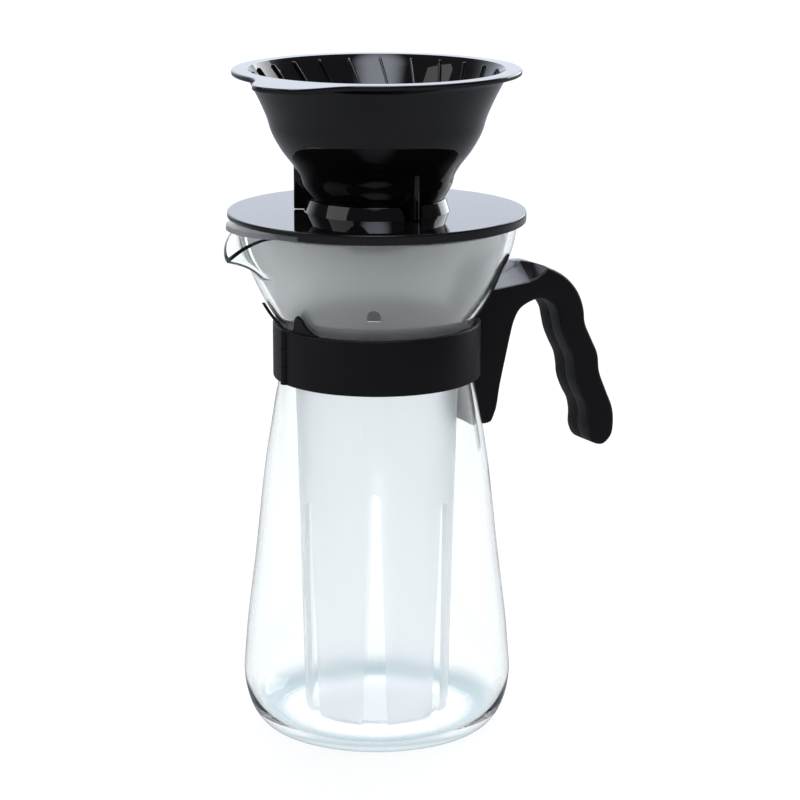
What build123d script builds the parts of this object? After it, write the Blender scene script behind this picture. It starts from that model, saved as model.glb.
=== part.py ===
from build123d import *
from math import atan, cos, radians, sin
import os

# Iced coffee maker in millimetres. The origin is the centre of the glass foot, +Z is up,
# +X points along the handle and -X along the pouring spout.

# Shared fits
overrun = 5.0
seat_gap = 0.2
grip_clearance = 0.3
half_gap = 0.12

# Glass carafe
foot_radius = 46.0
belly_radius = 59.0
belly_height = 25.0
neck_radius = 41.2
taper_height = 144.0
rim_radius = 60.3
flare_height = 55.0
glass_wall = 2.2
glass_floor = 4.0
taper_shares = [(0.09, 0.135), (0.32, 0.367), (0.604, 0.672), (0.798, 0.822)]
flare_shares = [(0.073, 0.229), (0.23, 0.309), (0.555, 0.52), (0.728, 0.656), (0.853, 0.758), (0.942, 0.869)]

# Pouring spout of the carafe
spout_length = 11.0
spout_drop = 12.3
spout_lip_radius = 5.0
spout_lip_rise = 1.4
spout_half_width = 18.5
spout_root_share = 0.945

# Band round the waist
band_wall = 3.57
band_drop = 11.8
band_height = 23.8
band_edge_round = 0.6

# Band tabs either side of the spout
tab_angle = 19.2
tab_height = 9.2
tab_width = 15.0
tab_thickness = 1.5
tab_glass_gap = 0.6
tab_hinge_shares = [(0.72, 0.0), (0.48, 0.18), (0.3, 0.48), (0.1, 0.87)]
tab_away_shares = [(0.46, 0.0), (0.24, 0.11), (0.12, 0.45), (0.08, 0.87)]

# Handle
handle_length = 73.13
handle_rise = 43.1
handle_drop = 43.9
handle_half_width = 9.5
handle_edge_round = 2.0
outer_edge_shares = [
    (0.0, 0.032), (0.243, 0.009), (0.342, 0.0), (0.423, 0.003), (0.533, 0.036), (0.642, 0.091),
    (0.724, 0.171), (0.768, 0.27), (0.776, 0.331), (0.821, 0.416), (0.874, 0.51), (0.888, 0.601),
    (0.941, 0.711), (0.992, 0.815), (1.0, 0.877), (0.981, 0.962), (0.922, 1.0), (0.847, 0.98),
]
inner_edge_shares = [
    (0.807, 0.916), (0.806, 0.837), (0.791, 0.777), (0.751, 0.716), (0.712, 0.632), (0.705, 0.578),
    (0.689, 0.516), (0.65, 0.452), (0.612, 0.379), (0.596, 0.325), (0.577, 0.263), (0.526, 0.21),
    (0.451, 0.184), (0.376, 0.197), (0.311, 0.226), (0.268, 0.285), (0.246, 0.348), (0.223, 0.429),
    (0.173, 0.609), (0.131, 0.768), (0.11, 0.797), (0.089, 0.803), (0.014, 0.798),
]

# Hinge under the spout and the pegs that line the handle halves up
hinge_inset = 0.57
knuckle_radius = 2.1
knuckle_gap = 0.3
pin_radius = 0.6
pin_fit = 0.04
pin_inset = 0.6
peg_radius = 1.6
peg_length = 3.5
peg_clearance = 0.35
peg_root = 3.0
peg_shares = [(0.905, 0.88), (0.44, 0.09)]

# Ice strainer
strainer_wall = 2.0
strainer_floor = 1.8
strainer_floor_gap = 0.9
tube_neck_gap = 3.4
tube_draft = 3.8
tube_foot_round = 2.6
tube_top_drop = 1.0
funnel_gap = 1.2
flange_overhang = 1.2
flange_thickness = 2.9
tongue_setback = 2.8
tongue_half_angle = 10.0
tongue_shoulder_angle = 19.0
tongue_thickness_share = 0.66
slot_count = 6
plain_slot_height = 99.1
long_slot_height = 107.1
slot_top_width = 4.9
slot_foot_width = 11.4
slot_bite = 4.4
channel_top_width = 6.4
channel_border = 0.4
channel_foot_width = 13.4
channel_depth = 0.5
window_rise = 21.8
window_height = 5.3
window_width = 5.6

# Lid plate
plate_thickness = 2.1
plate_edge_round = 0.5
skirt_gap = 1.1
skirt_wall = 1.6
skirt_drop = 2.2
skirt_open_half_angle = 31.0
locating_ring_drop = 4.6
locating_ring_wall = 1.6
locating_ring_gap = 0.8
collar_height = 5.5
collar_foot_wall = 5.8
collar_top_wall = 4.1
collar_bore_gap = 0.5
collar_gap_foot_angle = 5.9
collar_gap_top_angle = 11.2
plate_hole_gap = 0.5

# Dripper
dripper_height = 54.9
mouth_radius = 54.2
outlet_radius = 9.75
outlet_drop = 22.1
cone_wall = 2.4
brim_width = 7.5
brim_thickness = 2.3
brim_edge_round = 0.6
brim_root_gap = 2.0
seat_width = 4.0
wave_shares = [(0.68, 0.654), (0.645, 0.59), (0.455, 0.405), (0.24, 0.26), (0.172, 0.2), (0.122, 0.11)]
wave_top_offset = 0.4
thumb_tab_length = 19.8
thumb_tab_half_width = 18.0
thumb_tab_angle = 210.0
thumb_tab_fillet = 9.0
fin_count = 3
fin_angle = 270.0
fin_reach = 13.6
fin_thickness = 2.1
fin_height = 21.2
rib_count = 24
rib_width = 1.1
rib_height = 1.2
rib_top_gap = 1.6
rib_foot_rise = 19.0
rib_sections = 6
rib_twist = 22.0

# Heights and radii that follow from those above, from the glass upwards
neck_height = belly_height + taper_height
rim_height = neck_height + flare_height
spout_reach = rim_radius + spout_length
spout_lip_height = rim_height - spout_drop
band_radius = neck_radius + grip_clearance + band_wall
band_bottom = neck_height - band_drop
band_top = band_bottom + band_height
handle_reach = band_radius + handle_length
handle_top = band_bottom + handle_rise
handle_bottom = band_bottom - handle_drop
hinge_radius = band_radius - hinge_inset
funnel_inset = glass_wall + funnel_gap
strainer_floor_height = glass_floor + strainer_floor_gap
tube_top_radius = neck_radius - glass_wall - tube_neck_gap
tube_foot_radius = tube_top_radius - tube_draft
tube_top_height = neck_height - tube_top_drop
slot_pitch = 360 / slot_count
slot_bottom = strainer_floor_height - overrun
plain_slot_top = strainer_floor_height + plain_slot_height
long_slot_top = strainer_floor_height + long_slot_height
window_bottom = tube_top_height + window_rise
window_top = window_bottom + window_height
channel_top = window_top + channel_border
slot_start = tube_foot_radius - slot_bite
flange_radius = rim_radius + flange_overhang
flange_bottom = rim_height + seat_gap
flange_top = flange_bottom + flange_thickness
tongue_reach = spout_reach - tongue_setback
plate_radius = flange_radius + skirt_gap + skirt_wall
plate_bottom = flange_top + seat_gap
plate_top = plate_bottom + plate_thickness
collar_top = plate_top + collar_height
dripper_step = collar_top + seat_gap
dripper_top = dripper_step + dripper_height
outlet_height = dripper_step - outlet_drop
cone_slope = (mouth_radius - outlet_radius) / (dripper_top - outlet_height)
brim_radius = mouth_radius + brim_width
wave_top_radius = mouth_radius + wave_top_offset
fin_pitch = 360 / fin_count
fin_top = plate_top + fin_height
rib_foot_height = outlet_height + rib_foot_rise


def between(start, end, shares):
    """Points part of the way from one corner to the other, given as shares across and up."""
    across = end[0] - start[0]
    up = end[1] - start[1]
    return [(start[0] + a * across, start[1] + b * up) for a, b in shares]


def turned(edges):
    """Solid of revolution about the upright axis from a closed half outline of radius and height."""
    return revolve(Plane.XZ * make_face(edges), axis=Axis.Z)


def ring(outer, inner, bottom, top):
    """Plain upright ring."""
    height = top - bottom
    body = Cylinder(outer, height) - Cylinder(inner, height + overrun)
    return Pos(0, 0, bottom + height / 2) * body


def wedge(half_angle, radius, bottom, top, direction):
    """Upright pie slice about the axis, centred on a compass direction in degrees."""
    far = radius / cos(radians(half_angle))
    tip = [(far * cos(radians(direction + side)), far * sin(radians(direction + side)))
           for side in (-half_angle, half_angle)]
    outline = Polyline((0, 0), tip[0], tip[1], close=True)
    return Pos(0, 0, bottom) * extrude(make_face(outline), top - bottom)


def glass_side(offset):
    """Outer side of the glass from belly to rim, moved out by an offset."""
    belly = (belly_radius, belly_height)
    neck = (neck_radius, neck_height)
    rim = (rim_radius, rim_height)
    points = [belly, *between(belly, neck, taper_shares), neck, *between(neck, rim, flare_shares), rim]
    return [(radius + offset, height) for radius, height in points]


def side_curve(points):
    """Smooth curve through side points that starts and ends upright."""
    return Spline(*points, tangents=[(0, 1), (0, 1)])


def glass_body(offset, floor):
    """Full body of the glass: flat foot, rounded heel, tapered side and flared mouth."""
    points = glass_side(offset)
    heel = EllipticalCenterArc(
        (foot_radius, belly_height), points[0][0] - foot_radius, belly_height - floor, -90, arc_size=90)
    outline = [
        Line((0, floor), (foot_radius, floor)),
        heel,
        side_curve(points),
        Line(points[-1], (0, rim_height)),
        Line((0, rim_height), (0, floor)),
    ]
    return turned(outline)


def spout_body(inset):
    """Tapering gutter that leads out of the mouth to the lip, drawn in by an inset."""
    root_x = rim_radius * spout_root_share
    lip_z = spout_lip_height + spout_lip_radius - glass_wall
    lip = (spout_reach, lip_z, spout_lip_radius)
    root = (root_x, rim_height, spout_half_width)
    past = 1 + root_x / (spout_reach - root_x) / 2
    inside = [a + past * (b - a) for a, b in zip(lip, root)]
    sections = [Plane((-x, 0, z), z_dir=(-1, 0, 0)) * Circle(radius - inset) for x, z, radius in (inside, lip)]
    return loft(sections)


def spout_trim():
    """Everything above the slope by which the rim falls to the lip."""
    root_x = rim_radius * spout_root_share
    lip_edge = spout_lip_height + spout_lip_rise
    slope = (rim_height - lip_edge) / (spout_reach - root_x)
    far_x = spout_reach + overrun
    far_z = lip_edge - slope * overrun
    above = dripper_top
    outline = Polyline((-root_x, rim_height), (-far_x, far_z), (-far_x, above), (-root_x, above), close=True)
    return extrude(Plane.XZ * make_face(outline), rim_radius, both=True)


def glass_carafe():
    """Blown jug with its pinched spout."""
    above_rim = Pos(0, 0, rim_height) * Box(
        4 * rim_radius, 4 * rim_radius, dripper_top, align=(Align.CENTER, Align.CENTER, Align.MIN))
    outside = glass_body(0, 0) + spout_body(0)
    inside = glass_body(-glass_wall, glass_floor) + spout_body(glass_wall)
    return outside - inside - above_rim - spout_trim()


def glass_clearance(offset):
    """Solid that stands off the glass side, to shape what hugs it."""
    points = glass_side(offset)
    outline = [
        Line((0, belly_height), points[0]),
        side_curve(points),
        Line(points[-1], (0, rim_height)),
        Line((0, rim_height), (0, belly_height)),
    ]
    return turned(outline)


def handle_point(across, down):
    """Place on the handle's outline from its shares of reach and of height."""
    x = band_radius + across * (handle_reach - band_radius)
    z = handle_top - down * (handle_top - handle_bottom)
    return (x, z)


def handle_blank():
    """Whole handle: arch, waved grip and the blade that lies along the glass."""
    outer = [handle_point(*share) for share in outer_edge_shares]
    inner = [handle_point(*share) for share in inner_edge_shares]
    inside_x = neck_radius - overrun
    outline = [
        Spline(*outer, *inner),
        Polyline(inner[-1], (inside_x, inner[-1][1]), (inside_x, outer[0][1]), outer[0]),
    ]
    blank = extrude(Plane.XZ * make_face(outline), handle_half_width, both=True)
    sides = blank.faces().sort_by(Axis.Y)
    return fillet(sides[0].edges() + sides[-1].edges(), handle_edge_round)


def band_blank():
    """Whole band round the waist."""
    band = Pos(0, 0, band_bottom + band_height / 2) * Cylinder(band_radius, band_height)
    return fillet(band.edges().filter_by(GeomType.CIRCLE), band_edge_round)


def band_tab(side):
    """Upright tab on the band's top edge, out along the flare of the glass, with a long flank to the hinge."""
    shell = glass_clearance(tab_glass_gap + tab_thickness) - glass_clearance(tab_glass_gap)
    root = band_top - tab_thickness
    tip = band_top + tab_height
    rising_shares = tab_hinge_shares if side > 0 else tab_away_shares
    falling_shares = tab_away_shares if side > 0 else tab_hinge_shares
    rising = [(tab_width * a, band_top + tab_height * b) for a, b in rising_shares]
    falling = [(-tab_width * a, band_top + tab_height * b) for a, b in reversed(falling_shares)]
    outline = [
        Polyline((rising[0][0], root), rising[0]),
        Spline(*rising),
        ThreePointArc(rising[-1], (0, tip), falling[0]),
        Spline(*falling),
        Polyline(falling[-1], (falling[-1][0], root), (rising[0][0], root)),
    ]
    across = Plane.YZ * make_face(outline)
    prism = Rot(0, 0, 180 - side * tab_angle) * extrude(across, 2 * band_radius)
    return shell & prism


def knuckle(radius, level):
    """One third of the hinge's height, as an upright cylinder on the pin's axis."""
    third = band_height / 3
    centre = band_bottom + (level + 1 / 2) * third
    return Pos(-hinge_radius, 0, centre) * Cylinder(radius, third)


def knuckle_room(level):
    """Room round the other half's knuckle, open past the ends of the band."""
    third = band_height / 3
    outward = level - 1
    centre = band_bottom + (level + 1 / 2) * third + outward * overrun / 2
    return Pos(-hinge_radius, 0, centre) * Cylinder(knuckle_radius + knuckle_gap, third + abs(outward) * overrun)


def pegs(radius, start, end):
    """Upright row of round pegs across the handle's middle plane."""
    places = [handle_point(*share) for share in peg_shares]
    rods = [Pos(x, (start + end) / 2, z) * Rot(90, 0, 0) * Cylinder(radius, end - start) for x, z in places]
    return rods


def handle_half(side, own_levels, other_levels):
    """Half of the band and handle on one side, with its share of the hinge."""
    reach = 2 * handle_reach
    room = Pos(0, side * (reach / 2 + half_gap / 2), 0) * Box(2 * reach, reach, 2 * handle_top)
    half = (handle_blank() + band_blank()) & room
    half = half + (band_tab(side) & room)
    for level in other_levels:
        half = half - knuckle_room(level)
    for level in own_levels:
        half = half + knuckle(knuckle_radius, level)
    half = half - glass_clearance(grip_clearance)
    return half


def near_handle_half():
    """Half on the viewer's side, with the top and bottom knuckles and the pegs."""
    half = handle_half(-1, (0, 2), (1,))
    for rod in pegs(peg_radius, -peg_root, peg_length):
        half = half + rod
    return half - hinge_bore()


def far_handle_half():
    """Half on the far side, with the middle knuckle and the sockets for the pegs."""
    half = handle_half(1, (1,), (0, 2))
    middle = band_bottom + band_height / 2
    third = band_height / 3
    for edge in (-1, 1):
        face = Pos(-hinge_radius, 0, middle + edge * third / 2)
        half = half - face * Cylinder(knuckle_radius + knuckle_gap, 2 * knuckle_gap)
    for rod in pegs(peg_radius + peg_clearance, -peg_root, peg_length + peg_clearance):
        half = half - rod
    return half - hinge_bore()


def hinge_bore():
    """Bore of the hinge for its pin."""
    bore = Cylinder(pin_radius + pin_fit, band_height + overrun)
    return Pos(-hinge_radius, 0, band_bottom + band_height / 2) * bore


def hinge_pin():
    """Plain steel pin, a little shorter than the hinge."""
    pin = Cylinder(pin_radius, band_height - 2 * pin_inset)
    return Pos(-hinge_radius, 0, band_bottom + band_height / 2) * pin


def funnel_points(inset):
    """Side of the strainer from the top of its tube to its flange, drawn in by an inset."""
    neck = (neck_radius, neck_height)
    rim = (rim_radius, rim_height)
    cone = [(radius - funnel_inset, height) for radius, height in between(neck, rim, flare_shares[1:])]
    mouth = (rim_radius - funnel_inset, flange_top)
    points = [(tube_top_radius, tube_top_height), *cone, mouth]
    return [(radius - inset, height) for radius, height in points]


def strainer_body(inset, floor):
    """Full body of the strainer: round foot, tapered tube and funnel."""
    points = funnel_points(inset)
    foot_round = tube_foot_round - inset / 2
    foot_radius_here = tube_foot_radius - inset
    bend = (foot_radius_here - foot_round, floor)
    turn = (foot_radius_here, floor + foot_round)
    lean = (points[0][0] - turn[0], points[0][1] - turn[1])
    outline = [
        Line((0, floor), bend),
        RadiusArc(bend, turn, -foot_round),
        Line(turn, points[0]),
        Spline(*points, tangents=[lean, (0, 1)]),
        Line(points[-1], (0, flange_top)),
        Line((0, flange_top), (0, floor)),
    ]
    return turned(outline)


def tongue():
    """Tongue of the flange that covers the spout."""
    outer = tongue_reach
    ends = [180 - tongue_shoulder_angle, 180 - tongue_half_angle, 180, 180 + tongue_half_angle,
            180 + tongue_shoulder_angle]
    reaches = [flange_radius, outer, outer, outer, flange_radius]
    rim = [(r * cos(radians(a)), r * sin(radians(a))) for r, a in zip(reaches, ends)]
    outline = [
        Line((0, 0), rim[0]),
        Line(rim[0], rim[1]),
        ThreePointArc(rim[1], rim[2], rim[3]),
        Line(rim[3], rim[4]),
        Line(rim[4], (0, 0)),
    ]
    thickness = (flange_top - flange_bottom) * tongue_thickness_share
    return Pos(0, 0, flange_bottom) * extrude(make_face(outline), thickness)


def tapered_cut(top_width, foot_width, top, depth_from, depth_to):
    """Upright cut with a round top that widens towards the foot, between two radii along +X."""
    round_centre = top - top_width / 2
    outline = [
        Polyline((top_width / 2, round_centre), (foot_width / 2, slot_bottom),
                 (-foot_width / 2, slot_bottom), (-top_width / 2, round_centre)),
        ThreePointArc((-top_width / 2, round_centre), (0, top), (top_width / 2, round_centre)),
    ]
    face = Plane((depth_from, 0, 0), x_dir=(0, 1, 0), z_dir=(1, 0, 0)) * make_face(outline)
    return extrude(face, depth_to - depth_from)


def strainer_window():
    """Round-topped window through the funnel's foot."""
    half = window_width / 2
    outline = [
        Polyline((half, window_top - half), (half, window_bottom), (-half, window_bottom),
                 (-half, window_top - half)),
        ThreePointArc((-half, window_top - half), (0, window_top), (half, window_top - half)),
    ]
    face = Plane((tube_top_radius, 0, 0), x_dir=(0, 1, 0), z_dir=(1, 0, 0)) * make_face(outline)
    return extrude(face, rim_radius - tube_top_radius)


def ice_strainer():
    """Funnel, tube and flange in one moulding, with tall slots round the tube."""
    outer = strainer_body(0, strainer_floor_height)
    skin = outer - strainer_body(channel_depth, strainer_floor_height - overrun)
    flange = ring(flange_radius, mouth_bore(), flange_bottom, flange_top) + tongue()
    body = outer + flange - strainer_body(strainer_wall, strainer_floor_height + strainer_floor)
    reach = flange_radius - overrun
    for number in range(slot_count):
        turn = Rot(0, 0, number * slot_pitch)
        if number % 2:
            body = body - turn * tapered_cut(slot_top_width, slot_foot_width, plain_slot_top, slot_start, reach)
        else:
            body = body - turn * tapered_cut(slot_top_width, slot_foot_width, long_slot_top, slot_start, reach)
            channel = turn * tapered_cut(channel_top_width, channel_foot_width, channel_top, slot_start, reach)
            body = body - (channel & skin)
            body = body - turn * strainer_window()
    return body


def mouth_bore():
    """Bore radius of the strainer's flange."""
    return rim_radius - funnel_inset - strainer_wall


def cone_radius(height):
    """Inside radius of the dripper's cone at a height."""
    return mouth_radius - (dripper_top - height) * cone_slope


def cone_outer_radius(height):
    """Outside radius of the plain cone at a height."""
    return cone_radius(height) + cone_wall / cos(atan(cone_slope))


def collar_segments():
    """Collar on the plate, parted where the dripper's fins pass through."""
    bore = cone_outer_radius(collar_top) + collar_bore_gap
    outline = Polyline(
        (bore, plate_top), (bore + collar_foot_wall, plate_top), (bore + collar_top_wall, collar_top),
        (bore, collar_top), close=True)
    collar = turned([outline])
    for number in range(fin_count):
        direction = fin_angle + number * fin_pitch
        sections = [
            Pos(0, 0, height) * slice_face(angle, direction)
            for angle, height in ((collar_gap_foot_angle, plate_top), (collar_gap_top_angle, collar_top))
        ]
        collar = collar - loft(sections)
    return collar


def slice_face(half_angle, direction):
    """Flat pie slice used for the slanted ends of the collar."""
    near = fin_thickness
    far = plate_radius
    corners = []
    for radius, side in ((near, -1), (far, -1), (far, 1), (near, 1)):
        angle = radians(direction + side * half_angle)
        corners.append((radius * cos(angle), radius * sin(angle)))
    return make_face(Polyline(*corners, close=True))


def lid_plate():
    """Round plate with a skirt that is open over the spout and a collar for the dripper."""
    plate = ring(plate_radius, cone_outer_radius(plate_top) + plate_hole_gap, plate_bottom, plate_top)
    rim_edges = plate.edges().filter_by(GeomType.CIRCLE).sort_by(SortBy.RADIUS)[-2:]
    plate = fillet(rim_edges.sort_by(Axis.Z)[-1:], plate_edge_round)
    skirt = ring(plate_radius, plate_radius - skirt_wall, plate_bottom - skirt_drop, plate_bottom)
    skirt = skirt - wedge(skirt_open_half_angle, 2 * plate_radius, plate_bottom - 2 * skirt_drop,
                          plate_bottom, 180)
    locating_radius = mouth_bore() - locating_ring_gap
    locating = ring(locating_radius, locating_radius - locating_ring_wall, plate_bottom - locating_ring_drop,
                    plate_bottom)
    return plate + skirt + locating + collar_segments()


def dripper_brim():
    """Flat rim of the dripper with its thumb tab."""
    lobe = Pos(brim_radius, 0) * Ellipse(thumb_tab_length, thumb_tab_half_width)
    outline = Circle(brim_radius) + lobe
    outline = fillet(outline.vertices().sort_by(Axis.X)[:2], thumb_tab_fillet)
    brim = Pos(0, 0, dripper_top - brim_thickness) * extrude(outline, brim_thickness)
    brim = Rot(0, 0, thumb_tab_angle) * brim
    return fillet(brim.faces().sort_by(Axis.Z)[-1].edges(), brim_edge_round)


def dripper_wall():
    """Cone with a gently waved outside, a step that stands on the collar and the outlet below it."""
    seat = (cone_outer_radius(dripper_step) + seat_width, dripper_step)
    top = (wave_top_radius, dripper_top - brim_thickness - brim_root_gap)
    waves = [top, *between(seat, top, wave_shares), seat]
    outlet = cone_radius(outlet_height)
    brim_bottom = dripper_top - brim_thickness
    outline = [
        Polyline((mouth_radius, dripper_top), (wave_top_radius + brim_root_gap, dripper_top),
                 (wave_top_radius + brim_root_gap, brim_bottom), top),
        Spline(*waves),
        Polyline(seat, (cone_outer_radius(dripper_step), dripper_step),
                 (cone_outer_radius(outlet_height), outlet_height), (outlet, outlet_height),
                 (mouth_radius, dripper_top)),
    ]
    return turned(outline)


def dripper_fins():
    """Upright fins that steady the cone on the plate."""
    bottom = plate_top + seat_gap
    inner = cone_outer_radius(bottom)
    height = fin_top - bottom
    blade = Pos(inner + fin_reach / 2, 0, bottom + height / 2) * Box(fin_reach, fin_thickness, height)
    return [Rot(0, 0, fin_angle + number * fin_pitch) * blade for number in range(fin_count)]


def cone_space():
    """Space inside the cone, past both its ends."""
    low = outlet_height - overrun
    high = dripper_top + overrun
    return turned([Polyline((0, low), (cone_radius(low), low), (cone_radius(high), high), (0, high), close=True)])


def spiral_rib():
    """One rib on the inside of the cone, turning as it goes down."""
    top = dripper_top - rib_top_gap
    sections = []
    for number in range(rib_sections):
        share = number / (rib_sections - 1)
        height = top + share * (rib_foot_height - top)
        radius = cone_radius(height)
        root = radius + rib_height / 2
        crown = radius - rib_height
        corners = [(root, -rib_width / 2), (crown, -rib_width / 2), (crown, rib_width / 2), (root, rib_width / 2)]
        face = make_face(Polyline(*corners, close=True))
        sections.append(Pos(0, 0, height) * Rot(0, 0, -rib_twist * share) * face)
    return loft(sections, ruled=True)


def dripper():
    """Cone, brim, fins and spiral ribs in one moulding."""
    body = dripper_wall() + dripper_brim()
    for fin in dripper_fins():
        body = body + fin
    body = body - cone_space()
    rib = spiral_rib()
    pitch = 360 / rib_count
    ribs = [Rot(0, 0, number * pitch) * rib for number in range(rib_count)]
    return body.fuse(*ribs)


parts = {
    "glass_carafe": glass_carafe,
    "near_handle_half": near_handle_half,
    "far_handle_half": far_handle_half,
    "hinge_pin": hinge_pin,
    "ice_strainer": ice_strainer,
    "lid_plate": lid_plate,
    "dripper": dripper,
}

os.makedirs("parts", exist_ok=True)
for name, make in parts.items():
    export_step(make(), f"parts/{name}.step")
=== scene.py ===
import bpy
from math import atan2, cos, exp, hypot, pi, radians, sin, tau
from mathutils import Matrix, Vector
from mathutils.geometry import interpolate_bezier


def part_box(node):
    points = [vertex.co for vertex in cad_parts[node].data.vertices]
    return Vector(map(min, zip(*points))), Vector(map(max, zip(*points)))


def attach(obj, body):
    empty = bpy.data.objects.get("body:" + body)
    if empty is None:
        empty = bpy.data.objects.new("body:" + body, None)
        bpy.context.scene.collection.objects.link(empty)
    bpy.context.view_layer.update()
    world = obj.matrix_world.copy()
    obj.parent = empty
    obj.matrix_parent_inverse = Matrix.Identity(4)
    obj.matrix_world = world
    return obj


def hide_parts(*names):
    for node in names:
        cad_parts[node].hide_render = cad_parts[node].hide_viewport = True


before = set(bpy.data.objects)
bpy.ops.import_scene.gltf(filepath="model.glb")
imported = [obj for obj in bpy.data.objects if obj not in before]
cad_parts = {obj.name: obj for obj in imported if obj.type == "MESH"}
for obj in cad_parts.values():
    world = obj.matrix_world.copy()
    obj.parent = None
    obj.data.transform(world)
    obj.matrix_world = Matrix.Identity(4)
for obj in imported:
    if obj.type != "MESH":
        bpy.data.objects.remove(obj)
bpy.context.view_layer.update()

# Glass carafe: a jug blown from clear heat-proof glass, with a thick foot, a narrow waist and a
# flared mouth. The skin is spun, the spout is pulled out of the rim, then the skin is given its wall.
foot_radius = 0.046
belly = Vector((0.059, 0, 0.025))
neck = Vector((0.0412, 0, 0.169))
rim = Vector((0.0603, 0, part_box("glass_carafe")[1].z))
glass_wall = 0.0022
glass_floor = 0.0042
heel_height = 0.020
taper_shares = [(0.09, 0.135), (0.32, 0.367), (0.604, 0.672), (0.798, 0.822)]
flare_shares = [(0.073, 0.229), (0.23, 0.309), (0.555, 0.52), (0.728, 0.656), (0.853, 0.758), (0.942, 0.869)]
arc_steps = 10
glass_turns = 192
weld_distance = 0.000004
dot_radius = 0.001
spout_half_angle = radians(18.7)
spout_foot = 0.2035
spout_pull = 0.0110
spout_dip = 0.0116
spout_pull_powers = (2.2, 1.8)
spout_dip_powers = (1.44, 2.34)
spout_lip_power = 3
rim_round = 0.0009
heel_tint_radii = (0.038, 0.045)
heel_tint_heights = (0.003, 0.012)


def at(radius, height):
    """Point of a half outline, from its distance to the axis and its height."""
    return Vector((radius, 0, height))


def between(start, end, shares):
    """Points part of the way from one corner of an outline to another, as shares across and up."""
    run = end - start
    return [at(start.x + across * run.x, start.z + up * run.z) for across, up in shares]


def curve_through(points, steps):
    """Smooth line through a few given points."""
    slopes = []
    for number, here in enumerate(points):
        before = points[max(number - 1, 0)]
        after = points[min(number + 1, len(points) - 1)]
        back = max((here - before).length, weld_distance)
        ahead = max((after - here).length, weld_distance)
        slopes.append(((here - before) * (ahead / back) + (after - here) * (back / ahead)) / (back + ahead))
    line = []
    for number in range(len(points) - 1):
        here, there = points[number:number + 2]
        pull = (there - here).length / 3
        line += interpolate_bezier(
            here, here + slopes[number] * pull, there - slopes[number + 1] * pull, there, steps + 1)[:-1]
    return line + [points[-1]]


def arc(centre, across, up, start, end, steps):
    """Points of a round corner from one angle to another, in degrees."""
    angles = [radians(start + (end - start) * number / steps) for number in range(steps + 1)]
    return [at(centre.x + across * cos(angle), centre.z + up * sin(angle)) for angle in angles]


def drawn(name, points):
    """A line drawn by extruding one vertex from point to point, left open in edit mode."""
    bpy.ops.object.select_all(action="DESELECT")
    bpy.ops.mesh.primitive_circle_add(vertices=3, radius=dot_radius)
    piece = bpy.context.object
    piece.name = name
    piece.data.name = name
    bpy.ops.object.mode_set(mode="EDIT")
    bpy.ops.mesh.select_all(action="SELECT")
    bpy.ops.mesh.merge(type="CENTER")
    bpy.ops.transform.translate(value=points[0])
    for here, there in zip(points, points[1:]):
        bpy.ops.mesh.extrude_region_move(TRANSFORM_OT_translate={"value": there - here})
    return piece


def closed_up():
    """Merges what meets, clears loose edges, turns the faces outwards and leaves edit mode."""
    bpy.ops.mesh.select_all(action="SELECT")
    bpy.ops.mesh.remove_doubles(threshold=weld_distance)
    bpy.ops.mesh.delete_loose()
    bpy.ops.mesh.select_all(action="SELECT")
    bpy.ops.mesh.normals_make_consistent(inside=False)
    bpy.ops.object.mode_set(mode="OBJECT")


def turned(name, outline, turns):
    """A round piece spun from half of its outline."""
    piece = drawn(name, outline)
    bpy.ops.mesh.select_all(action="SELECT")
    bpy.ops.mesh.spin(steps=turns, angle=tau, center=(0, 0, 0), axis=(0, 0, 1))
    closed_up()
    return piece


def take_up(piece):
    """Makes a piece the only selected one."""
    bpy.ops.object.select_all(action="DESELECT")
    piece.select_set(True)
    bpy.context.view_layer.objects.active = piece


def worked(piece, kind, **settings):
    """Finishes a piece with one modifier, applied at once."""
    take_up(piece)
    modifier = piece.modifiers.new(kind.lower(), kind)
    for name, value in settings.items():
        setattr(modifier, name, value)
    bpy.ops.object.modifier_apply(modifier=modifier.name)
    return piece


def smoothed(piece, degrees):
    """Shades a piece smooth, with a crease where its faces meet at a sharper angle."""
    take_up(piece)
    bpy.ops.object.shade_smooth_by_angle(angle=radians(degrees))
    return piece


side = [belly, *between(belly, neck, taper_shares), neck, *between(neck, rim, flare_shares), rim]
glass_line = curve_through(side, arc_steps)
heel = arc(at(foot_radius, belly.z), belly.x - foot_radius, belly.z, -90, 0, 2 * arc_steps)
carafe = turned("jug_glass", [at(0, 0), at(foot_radius / 2, 0), *heel, *glass_line[1:]], glass_turns)

for point in carafe.data.vertices:
    away = abs(atan2(point.co.y, -point.co.x)) / spout_half_angle
    climb = (point.co.z - spout_foot) / (rim.z - spout_foot)
    if away < 1 and climb > 0:
        pull = spout_pull * (1 - away ** spout_pull_powers[0]) ** spout_pull_powers[1]
        dip = spout_dip * (1 - away ** spout_dip_powers[0]) ** spout_dip_powers[1]
        radius = hypot(point.co.x, point.co.y)
        grown = (radius + pull * climb ** spout_lip_power) / radius
        point.co = (point.co.x * grown, point.co.y * grown, point.co.z - dip * climb)

skin_points = len(carafe.data.vertices)
worked(carafe, "SOLIDIFY", thickness=glass_wall, offset=-1, use_even_offset=True)
for point in carafe.data.vertices[skin_points:]:
    share = 1 - (point.co.z - glass_wall) / heel_height
    point.co.z += (glass_floor - glass_wall) * max(share, 0)
worked(carafe, "BEVEL", width=rim_round, segments=4, limit_method="ANGLE", angle_limit=radians(60))
smoothed(carafe, 50)


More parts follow.
